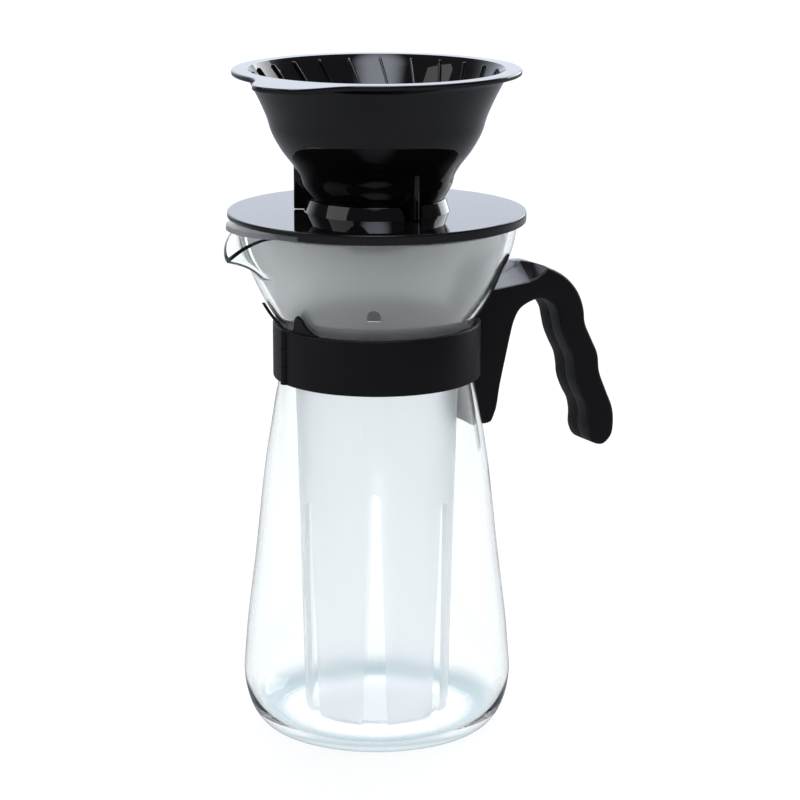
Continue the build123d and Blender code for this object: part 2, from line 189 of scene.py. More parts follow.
class Value:
    """A shader value that sums can be written with; every other node comes from make."""

    def __init__(self, tree, socket=None):
        self.tree = tree
        self.socket = socket

    def make(self, kind, settings, sockets, out=0):
        node = self.tree.nodes.new(kind)
        for name, setting in settings.items():
            setattr(node, name, setting)
        for name, value in sockets.items():
            if isinstance(value, Value):
                self.tree.links.new(value.socket, node.inputs[name])
            else:
                node.inputs[name].default_value = value
        return Value(self.tree, node.outputs[out])

    def maths(self, operation, left, right):
        return self.make("ShaderNodeMath", {"operation": operation}, {0: left, 1: right})

    def __add__(self, other):
        return self.maths("ADD", self, other)

    __radd__ = __add__

    def __sub__(self, other):
        return self.maths("SUBTRACT", self, other)

    def __rsub__(self, other):
        return self.maths("SUBTRACT", other, self)

    def __mul__(self, other):
        return self.maths("MULTIPLY", self, other)

    __rmul__ = __mul__

    def noise(self, scale, detail, out=0):
        """Noise over the object at a scale per metre."""
        place = self.make("ShaderNodeTexCoord", {}, {}, "Object")
        return self.make("ShaderNodeTexNoise", {}, {"Vector": place, "Scale": scale, "Detail": detail}, out)

    def eased(self, start, end, low=0.0, high=1.0):
        """A low value up to the start, a high one past the end, smooth between."""
        span = {"Value": self, "From Min": start, "From Max": end, "To Min": low, "To Max": high}
        return self.make("ShaderNodeMapRange", {"interpolation_type": "SMOOTHSTEP"}, span)

    def height(self, low, high):
        """0 below the low height on the object, 1 above the high one, smooth between."""
        place = self.make("ShaderNodeTexCoord", {}, {}, "Object")
        return self.make("ShaderNodeSeparateXYZ", {}, {0: place}, "Z").eased(low, high)

    def between(self, low, high):
        """The value brought from 0..1 to a narrower range."""
        return self * (high - low) + low

    def colours(self, low, high):
        """A colour between two, by the value."""
        settings = {"data_type": "RGBA", "clamp_factor": False}
        return self.make("ShaderNodeMix", settings, {0: self, 6: (*low, 1), 7: (*high, 1)}, 2)

    def bump(self, strength, distance):
        """Normal that the value raises."""
        return self.make("ShaderNodeBump", {}, {"Strength": strength, "Distance": distance, "Height": self})


def finish(name, constants):
    """A new material with its Principled shader's even values set, and a start for its maths."""
    material = bpy.data.materials.new(name)
    material.use_nodes = True
    shader = material.node_tree.nodes["Principled BSDF"]
    for socket, value in constants.items():
        shader.inputs[socket].default_value = value
    return material, shader, Value(material.node_tree)


def joined(shader, **links):
    """Links values that change over a surface to a shader's sockets."""
    for name, value in links.items():
        value.tree.links.new(value.socket, shader.inputs[name.replace("_", " ")])


def mixed(start, share, first, second):
    """Gives a material a mix of two shaders, by the share of the second."""
    both = start.make("ShaderNodeMixShader", {}, {0: share, 1: first, 2: second})
    start.tree.links.new(both.socket, start.tree.nodes["Material Output"].inputs["Surface"])


def clear_glass():
    """Clear glass with the faint waves of blowing, that lets lamps shine through."""
    material, shader, start = finish("clear_glass", {"Transmission Weight": 1.0, "IOR": 1.47})
    waves = start.noise(28.0, 1.0)
    tint = start.noise(9.0, 0.0)
    place = start.make("ShaderNodeTexCoord", {}, {}, "Object")
    flat = start.make("ShaderNodeVectorMath", {"operation": "MULTIPLY"}, {0: place, 1: (1, 1, 0)})
    radius = start.make("ShaderNodeVectorMath", {"operation": "LENGTH"}, {0: flat}, "Value")
    heel = radius.eased(*heel_tint_radii) * (1 - start.height(*heel_tint_heights))
    thick = tint.colours((0.47, 0.57, 0.61), (0.50, 0.60, 0.64))
    thin = tint.colours((0.962, 0.983, 0.988), (0.975, 0.99, 0.993))
    joined(
        shader,
        Base_Color=start.make("ShaderNodeMix", {"data_type": "RGBA"}, {0: heel, 6: thin, 7: thick}, 2),
        Roughness=waves.between(0.0, 0.012),
        Normal=waves.bump(0.05, 0.002),
    )
    lamp = start.make("ShaderNodeLightPath", {}, {}, "Is Shadow Ray")
    open_way = start.make("ShaderNodeBsdfTransparent", {}, {"Color": (0.93, 0.96, 0.96, 1)})
    mixed(start, lamp, Value(start.tree, shader.outputs[0]), open_way)
    return material


carafe.data.materials.append(clear_glass())
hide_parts("glass_carafe")
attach(carafe, "carafe")

# Handle and band: two mirrored mouldings of satin black plastic that close round the waist of the
# glass. The near half is modelled first, its band cut from a whole ring, and a mirrored copy makes the far
# half.
grip_clearance = 0.0003
half_gap = 0.00012
band_radius = 0.04507
band_bottom = 0.1572
band_top = 0.181
band_round = 0.0006
band_turns = 160
handle_top = 0.2003
handle_bottom = 0.1133
handle_reach = 0.1182
handle_half_width = 0.0095
handle_round = 0.002
outer_edge_shares = [
    (0.0, 0.032), (0.243, 0.009), (0.342, 0.0), (0.423, 0.003), (0.533, 0.036), (0.642, 0.091),
    (0.724, 0.171), (0.768, 0.27), (0.776, 0.331), (0.821, 0.416), (0.874, 0.51), (0.888, 0.601),
    (0.941, 0.711), (0.992, 0.815), (1.0, 0.877), (0.981, 0.962), (0.922, 1.0), (0.847, 0.98),
]
inner_edge_shares = [
    (0.807, 0.916), (0.806, 0.837), (0.791, 0.777), (0.751, 0.716), (0.712, 0.632), (0.705, 0.578),
    (0.689, 0.516), (0.65, 0.452), (0.612, 0.379), (0.596, 0.325), (0.577, 0.263), (0.526, 0.21),
    (0.451, 0.184), (0.376, 0.197), (0.311, 0.226), (0.268, 0.285), (0.246, 0.348), (0.223, 0.429),
    (0.173, 0.609), (0.131, 0.768), (0.11, 0.797), (0.089, 0.803), (0.014, 0.798),
]
edge_steps = 4
rim_steps = 4
seam_round = 0.00035
thumb_rest_start = 0.046
thumb_rest_end = 0.084
thumb_rest_low = 0.188
thumb_rest_top = 0.215
thumb_rest_sides = (0.0105, -0.0105)
thumb_rest_border = 0.0088
thumb_rest_lines = [
    (0.044, 0.1938, 0.1903),
    (0.050, 0.1940, 0.1906),
    (0.056, 0.1947, 0.1911),
    (0.0622, 0.1958, 0.1917),
    (0.0682, 0.1977, 0.1924),
    (0.0722, 0.2003, 0.1931),
    (0.0765, 0.2040, 0.1947),
    (0.080, 0.2070, 0.1968),
    (0.0825, 0.2090, 0.1988),
    (0.086, 0.2120, 0.2025),
]
tab_angle = radians(19.2)
tab_height = 0.0092
tab_width = 0.015
tab_thickness = 0.0015
tab_gap = 0.0006
tab_hinge_shares = [(0.72, 0.0), (0.48, 0.18), (0.3, 0.48), (0.1, 0.87), (0.0, 1.0)]
tab_away_shares = [(0.46, 0.0), (0.24, 0.11), (0.12, 0.45), (0.08, 0.87), (0.0, 1.0)]
hinge_radius = 0.0445
knuckle_radius = 0.0021
knuckle_gap = 0.0003
pin_bore = 0.00064
knuckle_faces = 40


def combined(piece, tool, operation):
    """Joins a second shape to a piece, or cuts the piece with it, and uses it up."""
    worked(piece, "BOOLEAN", object=tool, operation=operation, solver="EXACT")
    bpy.data.objects.remove(tool)
    return piece


def slab(name, outline, offset, thickness, direction):
    """A flat plate of even thickness from a closed outline."""
    piece = drawn(name, [point + direction * offset for point in outline])
    bpy.ops.mesh.select_all(action="SELECT")
    bpy.ops.mesh.edge_face_add()
    bpy.ops.mesh.select_all(action="SELECT")
    bpy.ops.mesh.extrude_region_move(TRANSFORM_OT_translate={"value": direction * thickness})
    closed_up()
    return piece


def copied(piece, name):
    """A copy of a piece with its own mesh."""
    take_up(piece)
    bpy.ops.object.duplicate()
    twin = bpy.context.object
    twin.name = name
    twin.data.name = name
    return twin


def spun_round(piece, angle):
    """Turns a piece about the upright axis and settles it there."""
    piece.rotation_euler = (0, 0, angle)
    take_up(piece)
    bpy.ops.object.transform_apply(location=False, rotation=True, scale=False)
    return piece


def around_glass(offset, bottom, top):
    """Outline of the glass side between two heights, moved outwards."""
    return [at(point.x + offset, point.z) for point in glass_line if bottom < point.z < top]


def glass_radius(height):
    """Outside radius of the glass at a height."""
    for low, high in zip(glass_line, glass_line[1:]):
        if low.z <= height <= high.z:
            return low.x + (high.x - low.x) * (height - low.z) / (high.z - low.z)


def handle_point(across, down):
    """Place on the handle's outline from its shares of reach and of height."""
    reach = band_radius + across * (handle_reach - band_radius)
    return at(reach, handle_top - down * (handle_top - handle_bottom))


def edges_rounded(piece, offset, width, segments):
    """Rounds the edges of a piece that lie on the plane at a distance from its middle plane."""
    take_up(piece)
    bpy.context.tool_settings.mesh_select_mode = (False, True, False)
    bpy.ops.object.mode_set(mode="EDIT")
    bpy.ops.mesh.select_all(action="DESELECT")
    bpy.ops.object.mode_set(mode="OBJECT")
    points = piece.data.vertices
    for line in piece.data.edges:
        line.select = all(abs(abs(points[end].co.y) - offset) < weld_distance for end in line.vertices)
    bpy.ops.object.mode_set(mode="EDIT")
    bpy.ops.mesh.bevel(offset=width, segments=segments, affect="EDGES")
    bpy.ops.object.mode_set(mode="OBJECT")
    bpy.context.tool_settings.mesh_select_mode = (True, False, False)
    return piece


near_way = Vector((0, -1, 0))
handle_way = Vector((1, 0, 0))
edge_points = [handle_point(*share) for share in outer_edge_shares + inner_edge_shares]
handle_edge = curve_through(edge_points, edge_steps)
back = [at(neck.x, handle_edge[-1].z), at(neck.x, handle_edge[0].z)]
seam = half_gap / 2
clamp = slab("clamp", handle_edge + back, seam, handle_half_width - seam, near_way)
edges_rounded(clamp, handle_half_width, handle_round, 4)
edges_rounded(clamp, seam, seam_round, 2)


def sliced_cube(slices, across):
    """A cube of size 1 cut evenly into slices across an axis, to be shaped point by point."""
    bpy.ops.object.select_all(action="DESELECT")
    bpy.ops.mesh.primitive_cube_add(size=1)
    piece = bpy.context.object
    bpy.ops.object.mode_set(mode="EDIT")
    for number in range(1, slices):
        bpy.ops.mesh.select_all(action="SELECT")
        bpy.ops.mesh.bisect(plane_co=across * (number / slices - 0.5), plane_no=across)
    bpy.ops.object.mode_set(mode="OBJECT")
    return piece


scoop_slices = len(thumb_rest_lines) - 1
scoop = sliced_cube(scoop_slices, handle_way)
for point in scoop.data.vertices:
    along, ridge, border = thumb_rest_lines[round((point.co.x + 0.5) * scoop_slices)]
    aside = thumb_rest_sides[0] if point.co.y > 0 else thumb_rest_sides[1]
    height = ridge + (ridge - border) * aside / thumb_rest_border
    point.co = (along, aside, thumb_rest_top if point.co.z > 0 else height)

def rounded_rim(radius, bottom, top, bend):
    """Upright outer edge of a round piece, with both its corners rounded."""
    low = arc(at(radius - bend, bottom + bend), bend, bend, -90, 0, rim_steps)
    return low + arc(at(radius - bend, top - bend), bend, bend, 0, 90, rim_steps)


foot_line = at(glass_radius(band_bottom) + grip_clearance, band_bottom)
head_line = at(glass_radius(band_top) + grip_clearance, band_top)
band_outline = [
    foot_line,
    *rounded_rim(band_radius, band_bottom, band_top, band_round),
    head_line,
    *reversed(around_glass(grip_clearance, band_bottom, band_top)),
    foot_line,
]
band = turned("band", band_outline, band_turns)
corners = ((-1, -1), (1, -1), (1, 1), (-1, 1))
half_room = [at(x * handle_reach, neck.z + z * band_radius) for x, z in corners]
combined(band, slab("half_room", half_room, seam, handle_reach, near_way), "INTERSECT")
combined(clamp, band, "UNION")

tab_foot = band_top - tab_thickness
leaf_line = around_glass(0, tab_foot - tab_thickness, band_top + tab_height + tab_thickness)
leaf_outline = [point + at(tab_gap + tab_thickness, 0) for point in leaf_line]
leaf_outline += [point + at(tab_gap, 0) for point in reversed(leaf_line)]
leaf = turned("tab", leaf_outline + leaf_outline[:1], band_turns)
rising = [Vector((0, tab_width * out, band_top + tab_height * up)) for out, up in tab_away_shares]
falling = [Vector((0, -tab_width * out, band_top + tab_height * up)) for out, up in tab_hinge_shares]
leaf_edge = curve_through(rising, edge_steps)
leaf_edge += curve_through(falling, edge_steps)[-2::-1]
root = [Vector((0, falling[0].y, tab_foot)), Vector((0, rising[0].y, tab_foot))]
punch = slab("tab_punch", leaf_edge + root, 0, 2 * band_radius, handle_way)
combined(leaf, spun_round(punch, pi + tab_angle), "INTERSECT")
combined(clamp, leaf, "UNION")
clearance = around_glass(grip_clearance, neck.z - belly.x, rim.z)
glass_room = turned("glass_room", [at(0, clearance[0].z), *clearance, at(0, clearance[-1].z)], band_turns)
combined(clamp, copied(glass_room, "glass_tool"), "DIFFERENCE")


def knuckle(name, radius, bottom, top):
    """Upright barrel on the hinge's axis."""
    bpy.ops.object.select_all(action="DESELECT")
    bpy.ops.mesh.primitive_cylinder_add(
        vertices=knuckle_faces, radius=radius, depth=top - bottom,
        location=(-hinge_radius, 0, (bottom + top) / 2))
    barrel = bpy.context.object
    barrel.name = name
    bpy.ops.object.transform_apply(location=True, rotation=False, scale=False)
    return barrel


def satin_black():
    """Moulded black plastic with a fine spark-eroded grain that dulls its shine."""
    material, shader, start = finish("satin_black", {"IOR": 1.46, "Specular IOR Level": 0.3})
    grain = start.noise(2600.0, 2.0)
    patches = start.noise(35.0, 3.0)
    place = start.make("ShaderNodeTexCoord", {}, {}, "Object")
    along = start.make("ShaderNodeSeparateXYZ", {}, {0: place}, "X")
    aside = start.make("ShaderNodeSeparateXYZ", {}, {0: place}, "Y")
    polished = start.maths("LESS_THAN", along, thumb_rest_end)
    polished = polished * start.maths("GREATER_THAN", along, thumb_rest_start)
    polished = polished * start.maths("LESS_THAN", start.maths("ABSOLUTE", aside, 0), thumb_rest_border)
    polished = polished * start.height(thumb_rest_low, thumb_rest_low + handle_round)
    joined(
        shader,
        Base_Color=patches.colours((0.0078, 0.0054, 0.0061), (0.0108, 0.0076, 0.0085)),
        Roughness=patches.between(0.40, 0.50) * (1 - polished) + polished * patches.between(0.12, 0.16),
        Normal=(grain * (1 - polished)).bump(0.16, 0.0002),
    )
    return material


satin_plastic = satin_black()
far_clamp = copied(clamp, "far_clamp")
far_clamp.scale = (1, -1, 1)
bpy.ops.object.transform_apply(location=False, rotation=False, scale=True)
bpy.ops.object.mode_set(mode="EDIT")
bpy.ops.mesh.select_all(action="SELECT")
bpy.ops.mesh.normals_make_consistent(inside=False)
bpy.ops.object.mode_set(mode="OBJECT")
third = (band_top - band_bottom) / 3
halves = (
    ("near_half", clamp, "near_handle_half", "carafe", (0, 2)),
    ("far_half", far_clamp, "far_handle_half", "far_half", (1,)),
)
for name, half, node, body, own_thirds in halves:
    combined(half, copied(scoop, "scoop_tool"), "DIFFERENCE")
    barrels = []
    for number in range(3):
        bottom = band_bottom + number * third
        top = bottom + third
        if number in own_thirds:
            barrel = knuckle("barrel", knuckle_radius, bottom + knuckle_gap / 2, top - knuckle_gap / 2)
            combined(barrel, knuckle("bore", pin_bore, bottom - third, top + third), "DIFFERENCE")
            barrels.append(combined(barrel, copied(glass_room, "glass_tool"), "DIFFERENCE"))
        else:
            room = knuckle_radius + knuckle_gap
            recess = knuckle("recess", room, bottom - knuckle_gap / 2, top + knuckle_gap / 2)
            combined(half, recess, "DIFFERENCE")
    take_up(half)
    for barrel in barrels:
        barrel.select_set(True)
    bpy.ops.object.join()
    half.name = name
    half.data.name = name
    half.data.materials.clear()
    half.data.materials.append(satin_plastic)
    smoothed(half, 32)
    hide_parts(node)
    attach(half, body)
bpy.data.objects.remove(glass_room)
bpy.data.objects.remove(scoop)

# Hinge pin: a plain drawn steel rod in the knuckles under the spout. Its solid already has the
# right shape, so it keeps it and only gets its finish.


def drawn_steel():
    """Steel rod with fine lines along its length."""
    material, shader, start = finish("drawn_steel", {"Metallic": 1.0})
    place = start.make("ShaderNodeTexCoord", {}, {}, "Object")
    along = start.make("ShaderNodeMapping", {}, {"Vector": place, "Scale": (1.0, 1.0, 0.02)})
    lines = start.make("ShaderNodeTexNoise", {}, {"Vector": along, "Scale": 6000.0, "Detail": 2.0})
    steel = lines.colours((0.42, 0.42, 0.43), (0.6, 0.6, 0.6))
    joined(shader, Base_Color=steel, Roughness=lines.between(0.25, 0.4))
    return material


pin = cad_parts["hinge_pin"]
pin.data.materials.clear()
pin.data.materials.append(drawn_steel())

# Ice strainer: one frosted moulding that hangs by its flange on the rim of the glass. A funnel runs
# into a tapered tube, with tall slots round its foot and shallow channels above every second slot.
strainer_wall = 0.002
strainer_floor = 0.0049
strainer_floor_thickness = 0.0018
tube_foot_radius = 0.0318
tube_foot_round = 0.0026
tube_top = at(0.0356, 0.168)
funnel_inset = 0.0034
flange_radius = 0.0615
seat_gap = 0.0002
flange_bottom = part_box("glass_carafe")[1].z + seat_gap
flange_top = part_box("ice_strainer")[1].z
flange_round = 0.0006
tongue_pull = 0.007
tongue_half_angle = radians(19)
tongue_round_power = 2.6
strainer_turns = 192
slot_count = 6
slot_foot = -0.0001
slot_tops = (0.112, 0.104)
slot_widths = (0.0049, 0.0114)
slot_bite = 0.0044
channel_top = 0.1955
channel_widths = (0.0064, 0.0134)
channel_depth = 0.0006
window_foot = 0.1898
window_width = 0.0056
window_top = 0.1951
# Shares of the grey milky layer below and above the band: painted shade on the funnel under the lid.
painted_funnel_shade_shares = (0.0, 0.4)
milk_thinning = 1.0


def strainer_side(inset):
    """Side of the strainer from its tube to its flange, moved inwards."""
    funnel = between(neck, rim, flare_shares[1:])
    mouth = at(rim.x - funnel_inset - inset, flange_bottom)
    points = [tube_top, *[point - at(funnel_inset, 0) for point in funnel]]
    return curve_through([*[point - at(inset, 0) for point in points], mouth], arc_steps)


def tube_foot(inset, floor):
    """Rounded foot of the tube, from the axis to where the side starts."""
    radius = tube_foot_radius - inset
    bend = tube_foot_round - inset / 2
    corner = arc(at(radius - bend, floor + bend), bend, bend, -90, 0, arc_steps)
    return [at(0, floor), at(radius / 2, floor), *corner]


def straight(start, end, steps):
    """Evenly spaced points on a straight line, without its ends."""
    return [start + (end - start) * number / steps for number in range(1, steps)]


outer_foot = tube_foot(0, strainer_floor)
inner_foot = tube_foot(strainer_wall, strainer_floor + strainer_floor_thickness)
outer_side = strainer_side(0)
inner_side = strainer_side(strainer_wall)
tube_outside = [*outer_foot, *straight(outer_foot[-1], outer_side[0], 3 * arc_steps), *outer_side]
tube_inside = [*inner_foot, *straight(inner_foot[-1], inner_side[0], 3 * arc_steps), *inner_side]
flange_edge = rounded_rim(flange_radius, flange_bottom, flange_top, flange_round)
flange_inside = at(inner_side[-1].x, flange_top)
strainer_outline = [*tube_outside, *flange_edge, flange_inside, *reversed(tube_inside)]
strainer = turned("strainer", strainer_outline, strainer_turns)
for point in strainer.data.vertices:
    away = abs(atan2(point.co.y, -point.co.x)) / tongue_half_angle
    radius = hypot(point.co.x, point.co.y)
    reach = (radius - outer_side[-1].x) / (flange_radius - outer_side[-1].x)
    if away < 1 and reach > 0 and point.co.z > flange_bottom - weld_distance:
        grown = (radius + reach * tongue_pull * (1 - away ** tongue_round_power)) / radius
        point.co = (point.co.x * grown, point.co.y * grown, point.co.z)


def tapered_outline(top, widths, foot):
    """Round-topped outline that widens towards its foot, on the plane across +X."""
    half_top, half_foot = widths[0] / 2, widths[1] / 2
    crown = arc(at(0, top - half_top), half_top, half_top, 0, 180, arc_steps)
    crown = [Vector((0, point.x, point.z)) for point in crown]
    return [Vector((0, half_foot, foot)), *crown, Vector((0, -half_foot, foot))]


def ring_of(piece, count, first, name):
    """Copies of a piece turned evenly about the axis from its first place, joined to one."""
    copies = [spun_round(copied(piece, name), first + tau * number / count) for number in range(count)]
    take_up(copies[0])
    for copy in copies:
        copy.select_set(True)
    bpy.ops.object.join()
    bpy.data.objects.remove(piece)
    return copies[0]


def side_punch(name, top, widths, foot):
    """Punch that goes through the side of the tube."""
    start = tube_foot_radius - slot_bite
    return slab(name, tapered_outline(top, widths, foot), start, flange_radius - start, handle_way)


long_slot = side_punch("long_slot", slot_tops[0], slot_widths, slot_foot)
plain_slot = side_punch("plain_slot", slot_tops[1], slot_widths, slot_foot)
channel = side_punch("channel", channel_top, channel_widths, slot_foot)
window = side_punch("window", window_top, (window_width, window_width), window_foot)
channels = ring_of(channel, slot_count // 2, 0, "channels")
floor_below = at(0, strainer_floor - tube_foot_round)
core_outline = [floor_below, floor_below + at(tube_foot_radius - channel_depth, 0)]
core_outline += [point - at(channel_depth, 0) for point in outer_side]
core_outline += [at(0, outer_side[-1].z)]
combined(channels, turned("core", core_outline, strainer_turns), "DIFFERENCE")
combined(strainer, channels, "DIFFERENCE")
combined(strainer, ring_of(window, slot_count // 2, 0, "windows"), "DIFFERENCE")
combined(strainer, ring_of(long_slot, slot_count // 2, 0, "long_slots"), "DIFFERENCE")
combined(strainer, ring_of(plain_slot, slot_count // 2, tau / slot_count, "plain_slots"), "DIFFERENCE")
smoothed(strainer, 28)


def frosted_plastic():
    """Milky see-through plastic with a fine matt frost, and a grey milky layer on the funnel that is painted
    shade under the lid.
    """
    material, shader, start = finish("frosted_plastic", {"Transmission Weight": 0.92, "IOR": 1.12})
    frost = start.noise(1800.0, 3.0)
    cloud = start.noise(20.0, 2.0)
    joined(
        shader,
        Base_Color=cloud.colours((0.975, 0.982, 0.99), (0.99, 0.993, 0.997)),
        Roughness=cloud.between(0.36, 0.42),
        Normal=frost.bump(0.08, 0.0002),
    )
    facing = start.make("ShaderNodeLayerWeight", {}, {"Blend": 0.5}, "Facing")
    # Grey milky layer: the plastic's own milky scatter, in a grey that is painted shade.
    milk_and_painted_shade = start.make("ShaderNodeBsdfPrincipled", {}, {
        "Base Color": cloud.colours((0.33, 0.33, 0.335), (0.37, 0.37, 0.375)), "Roughness": 0.55,
        "Specular IOR Level": 0.3, "Sheen Weight": 1.0, "Sheen Roughness": 0.6})
    # The grey layer's share rises from none on the tube to most on the funnel, as painted shade under the
    # lid, thinned at a slant.
    share = start.height(band_bottom, band_top).between(*painted_funnel_shade_shares)
    share = start.maths("MAXIMUM", share * (1 - facing * milk_thinning), 0)
    mixed(start, share, Value(start.tree, shader.outputs[0]), milk_and_painted_shade)
    return material


strainer.data.materials.append(frosted_plastic())
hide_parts("ice_strainer")
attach(strainer, "strainer")

# Lid plate: a round plate of polished black plastic that covers the strainer. A skirt hangs round
# its edge and stops short of the spout, and a collar in three parts holds the dripper upright.
plate_radius = 0.0642
plate_thickness = 0.0021
plate_bottom = flange_top + seat_gap
plate_top = plate_bottom + plate_thickness
plate_round = 0.0005
plate_turns = 192
skirt_wall = 0.0016
skirt_drop = 0.0022
skirt_open_half_angle = radians(31)
ring_radius = 0.0541
ring_wall = 0.0016
ring_drop = 0.0046
hole_radius = 0.0225
collar_bore = 0.02566
collar_foot_radius = 0.0315
collar_top_radius = 0.0298
collar_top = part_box("lid_plate")[1].z
collar_round = 0.0004
collar_gap_angles = (radians(5.9), radians(11.2))
fin_count = 3
fin_angle = radians(270)

locating_foot = plate_bottom - ring_drop
plate_outline = [
    at(hole_radius, plate_bottom),
    at(ring_radius - ring_wall, plate_bottom),
    at(ring_radius - ring_wall, locating_foot),
    at(ring_radius, locating_foot),
    at(ring_radius, plate_bottom),
    *rounded_rim(plate_radius, plate_bottom, plate_top, plate_round),
    at(plate_radius - 2 * plate_round, plate_top),
    at(hole_radius, plate_top),
    at(hole_radius, plate_bottom),
]
lid = turned("lid", plate_outline, plate_turns)

skirt_foot = plate_bottom - skirt_drop
skirt_inside = plate_radius - skirt_wall
skirt_corner = at(plate_radius - plate_round, skirt_foot + plate_round)
skirt_outline = [
    at(skirt_inside, plate_bottom + plate_round),
    at(skirt_inside, skirt_foot),
    *arc(skirt_corner, plate_round, plate_round, -90, 0, rim_steps),
    at(plate_radius, plate_bottom + plate_round),
    at(skirt_inside, plate_bottom + plate_round),
]
skirt = turned("skirt", skirt_outline, plate_turns)
opening = [Vector((0, 0, 0))]
for side_sign in (-1, 1):
    angle = pi + side_sign * skirt_open_half_angle
    opening.append(Vector((cos(angle), sin(angle), 0)) * 2 * plate_radius)
upwards = Vector((0, 0, 1))
cutter = slab("skirt_opening", opening, skirt_foot - skirt_drop, 2 * skirt_drop, upwards)
combined(skirt, cutter, "DIFFERENCE")
combined(lid, skirt, "UNION")

collar_corner = at(collar_top_radius - collar_round, collar_top - collar_round)
collar_outline = [
    at(collar_bore, plate_top - plate_round),
    at(collar_foot_radius, plate_top - plate_round),
    at(collar_foot_radius, plate_top),
    *arc(collar_corner, collar_round, collar_round, 20, 90, rim_steps),
    at(collar_bore, collar_top),
    at(collar_bore, plate_top - plate_round),
]
collar = turned("collar", collar_outline, plate_turns)
for number in range(fin_count):
    bpy.ops.object.select_all(action="DESELECT")
    bpy.ops.mesh.primitive_cube_add(size=1)
    gap = bpy.context.object
    for point in gap.data.vertices:
        above = point.co.z > 0
        reach = plate_radius if point.co.x > 0 else collar_bore / 2
        angle = collar_gap_angles[1] if above else collar_gap_angles[0]
        height = collar_top + plate_round if above else plate_top - 2 * plate_round
        point.co = (reach, reach * angle * (1 if point.co.y > 0 else -1), height)
    spun_round(gap, fin_angle + tau * number / fin_count)
    combined(collar, gap, "DIFFERENCE")
worked(collar, "BEVEL", width=collar_round / 2, segments=2, limit_method="ANGLE", angle_limit=radians(40))
combined(lid, collar, "UNION")
smoothed(lid, 32)


def gloss_black():
    """Polished black plastic, a little warm, with the faint ripple of its mould."""
    material, shader, start = finish("gloss_black", {"IOR": 1.5, "Coat Roughness": 0.03})
    ripple = start.noise(22.0, 1.0)
    dust = start.noise(420.0, 4.0)
    joined(
        shader,
        Base_Color=dust.colours((0.0072, 0.0054, 0.006), (0.0092, 0.007, 0.0078)),
        Roughness=dust.between(0.008, 0.028),
        Normal=ripple.bump(0.02, 0.002),
    )
    return material


polished_plastic = gloss_black()
lid.data.materials.append(polished_plastic)
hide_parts("lid_plate")
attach(lid, "lid")

# Dripper: a cone of the same polished plastic that holds the paper filter. It has a flat brim with
# a thumb tab, spiral ribs inside, three upright fins outside and an outlet that reaches into the funnel.
dripper_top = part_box("dripper")[1].z
mouth_radius = 0.0542
outlet = at(0.00975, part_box("dripper")[0].z)
cone_wall = 0.00277
brim_radius = 0.0617
brim_thickness = 0.0023
brim_round = 0.0006
brim_root_gap = 0.002
seat = at(0.0292, collar_top + seat_gap)
wave_top = at(0.0546, dripper_top - brim_thickness - brim_root_gap)
wave_shares = [(0.122, 0.11), (0.172, 0.2), (0.24, 0.26), (0.455, 0.405), (0.645, 0.59), (0.68, 0.654)]
dripper_turns = 240
tab_reach = 0.0189
tab_spread = 0.0166
tab_spread_power = 3
tab_direction = radians(210)
fin_radius = 0.0356
fin_thickness = 0.0021
fin_top = 0.2506
rib_count = 24
rib_width = 0.0011
rib_height = 0.0012
rib_top_gap = 0.0016
rib_foot = 0.232
rib_twist = radians(22)
rib_cuts = 40

rib_top = dripper_top - rib_top_gap
brim_bottom = dripper_top - brim_thickness
brim_root = wave_top.x + brim_root_gap
brim_flat = brim_radius - 2 * brim_round
mouth = at(mouth_radius, dripper_top)
cone_slope = (mouth.x - outlet.x) / (mouth.z - outlet.z)


def cone_radius(height):
    """Inside radius of the cone at a height."""
    return mouth.x - (mouth.z - height) * cone_slope


dripper_outline = [
    at(outlet.x, outlet.z),
    at(cone_radius(outlet.z) + cone_wall, outlet.z),
    at(cone_radius(seat.z) + cone_wall, seat.z),
    *curve_through([seat, *between(seat, wave_top, wave_shares), wave_top], arc_steps),
    at(brim_root, brim_bottom),
    at(brim_flat, brim_bottom),
    *rounded_rim(brim_radius, brim_bottom, dripper_top, brim_round),
    at(brim_flat, dripper_top),
    at(mouth.x + brim_round, dripper_top),
    *reversed(straight(outlet, mouth, 3 * arc_steps)),
    at(outlet.x, outlet.z),
]
dripper = turned("dripper_cone", dripper_outline, dripper_turns)
for point in dripper.data.vertices:
    radius = hypot(point.co.x, point.co.y)
    turn = (atan2(point.co.y, point.co.x) - tab_direction + pi) % tau - pi
    share = min((radius - brim_root) / (brim_flat - brim_root), 1)
    if share > 0 and point.co.z > brim_bottom - weld_distance and abs(turn) < pi / 4:
        lobe = tab_reach * exp(-abs(brim_radius * turn / tab_spread) ** tab_spread_power)
        grown = (radius + lobe * share) / radius
        point.co = (point.co.x * grown, point.co.y * grown, point.co.z)

rib = sliced_cube(rib_cuts, upwards)
for point in rib.data.vertices:
    share = 0.5 - point.co.z
    height = rib_top + (rib_foot - rib_top) * share
    depth = cone_radius(height) + (rib_height / 2 if point.co.x > 0 else -rib_height)
    angle = -rib_twist * share
    across = rib_width * point.co.y
    point.co = (depth * cos(angle) - across * sin(angle), depth * sin(angle) + across * cos(angle), height)
worked(rib, "BEVEL", width=rib_width / 3, segments=2, limit_method="ANGLE", angle_limit=radians(50))
combined(dripper, ring_of(rib, rib_count, 0, "ribs"), "UNION")

fin_bottom = plate_top + seat_gap
bpy.ops.object.select_all(action="DESELECT")
bpy.ops.mesh.primitive_cube_add(size=1)
fin = bpy.context.object
for point in fin.data.vertices:
    height = fin_top if point.co.z > 0 else fin_bottom
    reach = fin_radius if point.co.x > 0 else cone_radius(height) + cone_wall / 2
    point.co = (reach, fin_thickness * point.co.y, height)
worked(fin, "BEVEL", width=fin_thickness / 3, segments=3, limit_method="ANGLE", angle_limit=radians(50))
combined(dripper, ring_of(fin, fin_count, fin_angle, "fins"), "UNION")
smoothed(dripper, 32)
dripper.data.materials.append(polished_plastic)
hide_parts("dripper")
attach(dripper, "dripper")

